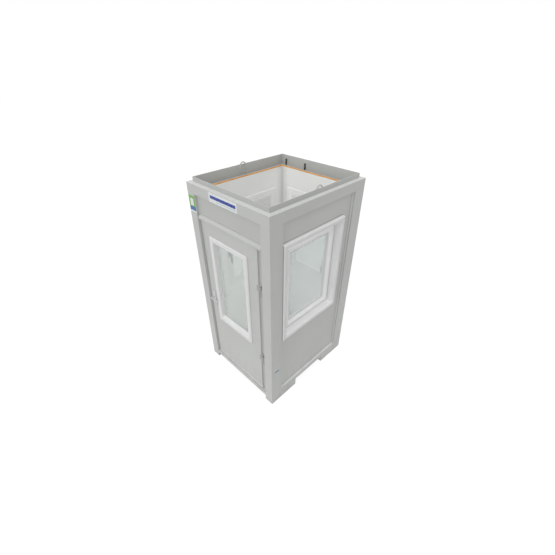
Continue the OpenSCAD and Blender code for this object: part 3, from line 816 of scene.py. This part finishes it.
HINGE_HEIGHT = 108 * MM
HINGE_ROOM = 3 * MM
HINGE_TOPS = (hinge_low.z + HINGE_HEIGHT, hinge_plate_high.z)
CLEAR_OF_HINGES = (
    (sill_high.z, hinge_low.z - HINGE_ROOM),
    (HINGE_TOPS[0] + HINGE_ROOM, HINGE_TOPS[1] - HINGE_HEIGHT - HINGE_ROOM),
    (HINGE_TOPS[1] + HINGE_ROOM, stop_high.z),
)
JAMB_STRIP_PROUD = 0.8 * MM
GAP_SEAL = 5 * MM
RIB_COUNT = 7
RIB_PITCH = 7.5 * MM
RIB_START = 18 * MM
RIB_END_GAP = 4 * MM
DRIP_SCREW_COUNT = 5
DRIP_SCREW_INSET = 60 * MM
DRIP_SCREW_HEIGHT = 9 * MM
DRIP_SCREW_RADIUS = 4 * MM
STRIKE_HALF_HEIGHT = 90 * MM
LOCK_SHEET = 1 * MM


def door_stop_seal():
    """Black tubes on the door stop, which the closed leaf presses on."""
    seal = Piece("door_stop_seal", FRONT)
    tip = leaf_high.y + 1 * MM
    for edge, inward in ((stop_low.x, 1), (stop_high.x, -1)):
        seal.bar_z(sill_high.z, stop_high.z - 2 * MM, [
            (edge + inward * 8 * MM, stop_low.y), (edge + inward * 18 * MM, stop_low.y),
            (edge + inward * 16 * MM, tip), (edge + inward * 11 * MM, tip)])
    seal.done(seal_rubber, "conduit_plastic")


def door_gap_seals():
    """Grey seals in the gap round the leaf, which break off at the hinges."""
    seals = Piece("door_gap_seals", FRONT)
    face, back = leaf_low.y, leaf_high.y
    for start, end in CLEAR_OF_HINGES:
        seals.bar_z(start, end, [
            (stop_high.x, face + 16 * MM), (stop_high.x, back), (leaf_high.x + 1 * MM, back - 6 * MM),
            (leaf_high.x + 1 * MM, face + 18 * MM), (leaf_high.x + 3 * MM, face + 16 * MM)])
    seals.bar_z(sill_high.z, stop_high.z, [
        (stop_low.x, face + 18 * MM), (stop_low.x + GAP_SEAL, face + 21 * MM),
        (stop_low.x + GAP_SEAL, face + 34 * MM), (stop_low.x, face + 38 * MM)])
    seals.bar_x(stop_low.x, stop_high.x, [
        (face + 20 * MM, stop_high.z), (face + 24 * MM, stop_high.z - GAP_SEAL),
        (face + 34 * MM, stop_high.z - GAP_SEAL), (face + 38 * MM, stop_high.z)])
    seals.done(seal_grey, "conduit_plastic")


def jamb_strip(inner, outer, outward):
    """Section of a thin strip on a jamb's face, from its inner to its outer edge."""
    face = frame_low.y
    return [(inner + outward * 1 * MM, face), (inner + outward * 2 * MM, face - JAMB_STRIP_PROUD),
            (outer - outward * 1 * MM, face - JAMB_STRIP_PROUD), (outer, face)]


def jamb_face_strips():
    """Painted strips on the faces of both jambs: darker on the hinge side, where they break off at the
    hinges, as painted shade in the groove by the leaf, and lighter on the lock side as painted light.
    """
    hinge_side = Piece("jamb_face_strip", FRONT)
    for start, end in CLEAR_OF_HINGES:
        hinge_side.bar_z(start, end, jamb_strip(stop_high.x, frame_high.x, 1))
    hinge_side.done(jamb_shade_paint, "painted_steel")
    lock_side = Piece("lock_jamb_face_strip", FRONT)
    lock_side.bar_z(sill_high.z, stop_high.z, jamb_strip(stop_low.x, frame_low.x, -1))
    lock_side.done(lock_jamb_lit_paint, "painted_steel")


def threshold_ribs():
    """Low ribs along the threshold against slipping."""
    ribs = Piece("threshold_ribs", FRONT)
    base, top = sill_high.z, sill_high.z + 0.8 * MM
    for i in range(RIB_COUNT):
        depth = sill_low.y + RIB_START + i * RIB_PITCH
        ribs.bar_x(sill_low.x + RIB_END_GAP, sill_high.x - RIB_END_GAP, [
            (depth, base), (depth + 0.8 * MM, top), (depth + 2.2 * MM, top), (depth + 3 * MM, base)])
    ribs.done(plain_aluminium, "plain_aluminium")


def drip_cap_screws():
    """Painted screws along the drip cap."""
    screws = Piece("drip_cap_screws", FRONT)
    pitch = (drip_high.x - drip_low.x - 2 * DRIP_SCREW_INSET) / (DRIP_SCREW_COUNT - 1)
    for i in range(DRIP_SCREW_COUNT):
        x = drip_low.x + DRIP_SCREW_INSET + i * pitch
        screws.screw((x, drip_low.y, drip_low.z + DRIP_SCREW_HEIGHT), (0, -1, 0), DRIP_SCREW_RADIUS)
    screws.done(painted_steel, "painted_steel")


def strike_plate():
    """The plate in the jamb that the latch goes into."""
    face, back = leaf_low.y + 17 * MM, leaf_high.y + 3 * MM
    strike = Piece("strike_plate", FRONT)
    strike.bar_z(LEVER_LOW - STRIKE_HALF_HEIGHT, LEVER_LOW + STRIKE_HALF_HEIGHT, [
        (stop_low.x, face), (stop_low.x + LOCK_SHEET, face),
        (stop_low.x + LOCK_SHEET, back), (stop_low.x, back)])
    strike.done(zinc, "handle_metal")


for fit in (door_stop_seal, door_gap_seals, jamb_face_strips, threshold_ribs, drip_cap_screws, strike_plate):
    fit()


# Door leaf

handle_low, handle_high = wall_box("door_handle_plates", "front")
HANDLE_FACES = ((handle_low.y, -1), (handle_high.y, 1))
HANDLE_X = (handle_low.x + handle_high.x) / 2
LOCK_Z = handle_low.z + 38 * MM
HANDLE_SCREW_INSET = 14 * MM
HANDLE_SCREW_RADIUS = 4.5 * MM
PLUG_RADIUS = 8.5 * MM
PLUG_START, PLUG_SWEEP, PLUG_STEPS = -62, 304, 20
CYLINDER_PROUD = 3 * MM
KEYWAY_PROUD = 3.2 * MM
FACEPLATE_BELOW = 100 * MM
FACEPLATE_ABOVE = 110 * MM
FACEPLATE_HALF_WIDTH = 11 * MM
SWEEP_DROP = 4.6 * MM
PACKER_ROOM = 5 * MM
PACKER_BARREL_GAP = 24 * MM
PACKER_FACE = 9 * MM

LEAF_SEALANT = ((0, -4 * MM), (-2.5 * MM, -3 * MM), (-4 * MM, 0), (0, 0))
CYLINDER_BODY = ((-5 * MM, -20 * MM), (-3 * MM, -23 * MM), (3 * MM, -23 * MM), (5 * MM, -20 * MM))
KEYWAY = (
    (-1.1 * MM, -5 * MM), (1.1 * MM, -5 * MM), (1.1 * MM, 3 * MM), (0.3 * MM, 5 * MM), (-1.1 * MM, 3 * MM))


def door_window_seals():
    """Sealant round the window of the door, and gasket lips at its pane."""
    sealant = Piece("door_window_sealant", FRONT)
    sealant.ring(*wall_box("door_window_frame", "front"), from_face(LEAF_SEALANT, leaf_low.y))
    sealant.done(seal_grey, "white_upvc", "door")
    gaskets = Piece("door_glazing_gaskets", FRONT)
    add_gasket_lips(gaskets, *wall_box("door_glass", "front"))
    gaskets.done(gasket_rubber, "white_upvc", "door")


def handle_plate_screws():
    """Two screws in each handle plate."""
    screws = Piece("handle_plate_screws", FRONT)
    for face, outward in HANDLE_FACES:
        for z in (handle_low.z + HANDLE_SCREW_INSET, handle_high.z - HANDLE_SCREW_INSET):
            screws.screw((HANDLE_X, face, z), (0, outward, 0), HANDLE_SCREW_RADIUS)
    screws.done(zinc, "handle_metal", "door")


def lock_cylinders():
    """Profile cylinders in both handle plates, a round plug over a narrower body, with their keyways."""
    arc = [math.radians(PLUG_START + i * PLUG_SWEEP / PLUG_STEPS) for i in range(PLUG_STEPS + 1)]
    outline = [(PLUG_RADIUS * math.cos(angle), PLUG_RADIUS * math.sin(angle)) for angle in arc]
    outline += CYLINDER_BODY
    locks = Piece("lock_cylinders", FRONT)
    keyways = Piece("lock_keyways", FRONT)
    for face, outward in HANDLE_FACES:
        for piece, points, proud in ((locks, outline, CYLINDER_PROUD), (keyways, KEYWAY, KEYWAY_PROUD)):
            piece.loft([[(HANDLE_X + x, depth, LOCK_Z + z) for x, z in points]
                        for depth in (face, face + outward * proud)])
    locks.done(lock_brass, "handle_metal", "door")
    keyways.done(seal_rubber, "handle_metal", "door")


def leaf_bottom_seal():
    """A lip under the leaf that sweeps over the threshold."""
    face, base, tip = leaf_low.y, leaf_low.z, leaf_low.z - SWEEP_DROP
    sweep = Piece("leaf_bottom_seal", FRONT)
    sweep.bar_x(leaf_low.x + 2 * MM, leaf_high.x - 2 * MM, [
        (face + 1 * MM, base), (face + 2 * MM, tip), (face + 6 * MM, tip), (face + 8 * MM, base)])
    sweep.done(gasket_rubber, "conduit_plastic", "door")


def hinge_packers():
    """Packers behind the hinge plates of the leaf, clear of the jamb and of the hinge barrels."""
    left, right = leaf_high.x + 3 * MM, hinge_plate_high.x - PACKER_BARREL_GAP
    face, back = hinge_plate_low.y + PACKER_FACE, frame_low.y - PACKER_ROOM
    packers = Piece("hinge_packers", FRONT)
    for top in HINGE_TOPS:
        packers.bar_z(top - HINGE_HEIGHT / 2 + 1 * MM, top - 1 * MM, [
            (left, face), (right, face), (right, back), (left, back)])
    # Painted shade: the packers take the hinges' darker grey.
    packers.done(hinge_shade_paint, "painted_steel", "door")


def latch_faceplate():
    """The plate on the edge of the leaf that the latch comes out of."""
    middle = (leaf_low.y + leaf_high.y) / 2
    face, back = middle - FACEPLATE_HALF_WIDTH, middle + FACEPLATE_HALF_WIDTH
    plate = Piece("latch_faceplate", FRONT)
    plate.bar_z(LEVER_LOW - FACEPLATE_BELOW, LEVER_LOW + FACEPLATE_ABOVE, [
        (leaf_low.x, face), (leaf_low.x - LOCK_SHEET, face),
        (leaf_low.x - LOCK_SHEET, back), (leaf_low.x, back)])
    plate.done(zinc, "handle_metal", "door")


for fit in (door_window_seals, handle_plate_screws, lock_cylinders, leaf_bottom_seal, hinge_packers,
            latch_faceplate):
    fit()


# Roof ring

EYE_BAR = 14 * MM
WELD_START = 6 * MM
WELD_END = 92 * MM
WELD_BEAD = ((0, -0.2 * MM), (5 * MM, -0.2 * MM), (3.6 * MM, 2.6 * MM), (0, 4.5 * MM))
CONDUIT_PITCH = 5 * MM
CONDUIT_RIDGES = 14
CONDUIT_GROOVE = 1.8 * MM
CONDUIT_WALL = 3.5 * MM


def lifting_eye_welds():
    """Weld beads on both sides of the legs of the lifting eyes."""
    welds = Piece("lifting_eye_welds")
    for side in ("left", "right"):
        welds.place = on_wall(side)
        low, high = wall_box("lifting_eyes", side)
        for leg in (low.x + EYE_BAR / 2, high.x - EYE_BAR / 2):
            for outward in (-1, 1):
                edge = leg + outward * (EYE_BAR / 2 - 1 * MM)
                welds.bar_z(low.z + WELD_START, low.z + WELD_END, [
                    (edge + outward * across, low.y + depth) for across, depth in WELD_BEAD])
    welds.done(painted_steel, "painted_steel")


def corrugated_conduits():
    """Ridged plastic pipes, open at the top, in place of the plain ones."""
    low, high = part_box("cable_conduits")
    radius = (high.y - low.y) / 2
    height = high.z - low.z
    groove, bore = radius - CONDUIT_GROOVE, radius - CONDUIT_WALL
    profile = [(groove, 0)]
    for i in range(CONDUIT_RIDGES):
        z = 1 * MM + i * CONDUIT_PITCH
        profile += [(groove, z), (radius, z + 1 * MM), (radius, z + 3 * MM), (groove, z + 4 * MM)]
    profile += [(groove, height), (bore, height), (bore, 0)]
    conduits = Piece("corrugated_conduits")
    for x in (low.x + radius, high.x - radius):
        conduits.turned((x, low.y + radius, low.z), (0, 0, 1), profile, segments=28, closed=True)
    conduits.done(conduit_plastic, "conduit_plastic", replaces=("cable_conduits",))


lifting_eye_welds()
corrugated_conduits()


# Plain plate and stickers

PLATE_THICKNESS = 1.2 * MM
STICKER_THICKNESS = 0.4 * MM
POST_STICKER_SPAN = (-606, -502)


def sticker(name, side, span, heights, material, under=0, thickness=STICKER_THICKNESS):
    """A plain sheet on a wall, over a sheet of the thickness under. Span and heights are in millimetres."""
    left, right = (place * MM for place in span)
    bottom, top = (place * MM for place in heights)
    sheet = Piece(name, on_wall(side))
    sheet.slab((left, -under - thickness, bottom), (right, -under, top), thickness / 2)
    sheet.done(material, "painted_steel")


sticker("beam_plate", "front", (-229, 198), (2436, 2530), plate_white, thickness=PLATE_THICKNESS)
sticker("beam_plate_band", "front", (-206, 180), (2474, 2506), plate_blue, under=PLATE_THICKNESS)
sticker("beam_plate_line", "front", (-120, 180), (2454, 2461), label_pale, under=PLATE_THICKNESS)
sticker("post_sticker_field", "front", POST_STICKER_SPAN, (2292, 2410), sticker_green)
sticker("post_sticker_patch", "front", (-584, -528), (2300, 2378), plate_white, under=STICKER_THICKNESS)
sticker("post_sticker_band", "front", POST_STICKER_SPAN, (2246, 2292), sticker_blue)
sticker("post_sticker_foot", "front", POST_STICKER_SPAN, (2230, 2246), plate_white)
sticker("post_label", "right", (-655, -580), (546, 592), label_pale)
sticker("post_label_band", "right", (-648, -587), (558, 572), label_dark, under=STICKER_THICKNESS)


# Camera

CAMERA_LENS = 20.211
CAMERA_SENSOR = 36
CAMERA_CLIP = 200
CAMERA_AIM = Vector((0, 0, 1.295))
CAMERA_SIDE = Vector((1, -1, 1)).normalized()
CAMERA_DISTANCE = 3.9416
CAMERA_TURN = Euler((0.00075, -0.0007, 0.00115))


def make_camera():
    data = bpy.data.cameras.new("camera")
    data.lens = CAMERA_LENS
    data.sensor_width = CAMERA_SENSOR
    data.clip_end = CAMERA_CLIP
    camera = bpy.data.objects.new("camera", data)
    camera.location = CAMERA_AIM + CAMERA_DISTANCE * CAMERA_SIDE
    turn = CAMERA_SIDE.to_track_quat("Z", "Y") @ CAMERA_TURN.to_quaternion()
    camera.rotation_euler = turn.to_euler()
    bpy.context.scene.collection.objects.link(camera)
    bpy.context.scene.camera = camera


# Light

SUN_ANGLE = math.radians(50)
FILL_LEVELS = {"front": 0.18, "right": 0.13, "back": 0.28, "left": 0.26}
FILL_RISE = 0.1
TOP_LEVEL = 0.3
KEY_LEVEL = 0.27
KEY_SIDE = (0.2, -0.8, 0.55)
SKY_LEVEL = 0.37


def sun(name, level, origin, shadow=False):
    """A soft light from one side, of the level that a white surface facing it would show."""
    data = bpy.data.lights.new(name, "SUN")
    data.energy = level * math.pi
    data.angle = SUN_ANGLE
    data.use_shadow = shadow
    lamp = bpy.data.objects.new(name, data)
    lamp.rotation_euler = Vector(origin).to_track_quat("Z", "Y").to_euler()
    bpy.context.scene.collection.objects.link(lamp)


def make_lamps():
    for side, level in FILL_LEVELS.items():
        sun(side + "_fill", level, on_wall(side).to_3x3() @ Vector((0, -1, FILL_RISE)))
    sun("top_fill", TOP_LEVEL, (0, 0, 1))
    sun("key", KEY_LEVEL, KEY_SIDE, shadow=True)


def seen_directly(tree):
    """1 for rays of the camera, and for those that a mirror or a pane sends on, else 0."""
    path = tree.nodes.new("ShaderNodeLightPath")
    total = path.outputs["Is Camera Ray"]
    for ray in ("Is Glossy Ray", "Is Transmission Ray"):
        largest = tree.nodes.new("ShaderNodeMath")
        largest.operation = "MAXIMUM"
        tree.links.new(total, largest.inputs[0])
        tree.links.new(path.outputs[ray], largest.inputs[1])
        total = largest.outputs["Value"]
    return total


def show(tree, lighting, seen, output):
    """One shader for the rays that light the object, and another for those that show the background."""
    mix = tree.nodes.new("ShaderNodeMixShader")
    tree.links.new(seen_directly(tree), mix.inputs["Fac"])
    tree.links.new(lighting, mix.inputs[1])
    tree.links.new(seen, mix.inputs[2])
    tree.links.new(mix.outputs["Shader"], tree.nodes[output].inputs["Surface"])


def make_world():
    """A low even sky, which looks white."""
    world = bpy.data.worlds.new("studio")
    world.use_nodes = True
    tree = world.node_tree
    light = tree.nodes["Background"]
    white = tree.nodes.new("ShaderNodeBackground")
    for background, level in ((light, SKY_LEVEL), (white, 1)):
        background.inputs["Color"].default_value = (1, 1, 1, 1)
        background.inputs["Strength"].default_value = level
    show(tree, light.outputs["Background"], white.outputs["Background"], "World Output")
    bpy.context.scene.world = world


# Floor

FLOOR_HALF = 40
FLOOR_GREY = (0.53, 0.53, 0.53, 1)
FLOOR_SHADOW_SHARE = 0.25
FLOOR_LEVEL = 0.82


def make_floor():
    """A pale floor that looks white with the cabin's shadow, and lights the cabin from below."""
    corners = [(x * FLOOR_HALF, y * FLOOR_HALF, 0) for x, y in ((-1, -1), (1, -1), (1, 1), (-1, 1))]
    mesh = bpy.data.meshes.new("floor")
    mesh.from_pydata(corners, [], [(0, 1, 2, 3)])
    floor = bpy.data.objects.new("floor", mesh)
    bpy.context.scene.collection.objects.link(floor)
    material = bpy.data.materials.new("floor")
    material.use_nodes = True
    tree = material.node_tree
    tree.nodes.remove(tree.nodes["Principled BSDF"])
    lit = tree.nodes.new("ShaderNodeBsdfDiffuse")
    lit.inputs["Color"].default_value = FLOOR_GREY
    shadowed = tree.nodes.new("ShaderNodeBsdfDiffuse")
    shadowed.inputs["Color"].default_value = (FLOOR_SHADOW_SHARE,) * 3 + (1,)
    glow = tree.nodes.new("ShaderNodeEmission")
    glow.inputs["Strength"].default_value = 1 - FLOOR_SHADOW_SHARE * FLOOR_LEVEL
    seen = tree.nodes.new("ShaderNodeAddShader")
    tree.links.new(shadowed.outputs["BSDF"], seen.inputs[0])
    tree.links.new(glow.outputs["Emission"], seen.inputs[1])
    show(tree, lit.outputs["BSDF"], seen.outputs["Shader"], "Material Output")
    mesh.materials.append(material)


make_camera()
make_lamps()
make_world()
make_floor()
bpy.context.scene.view_settings.view_transform = "Standard"
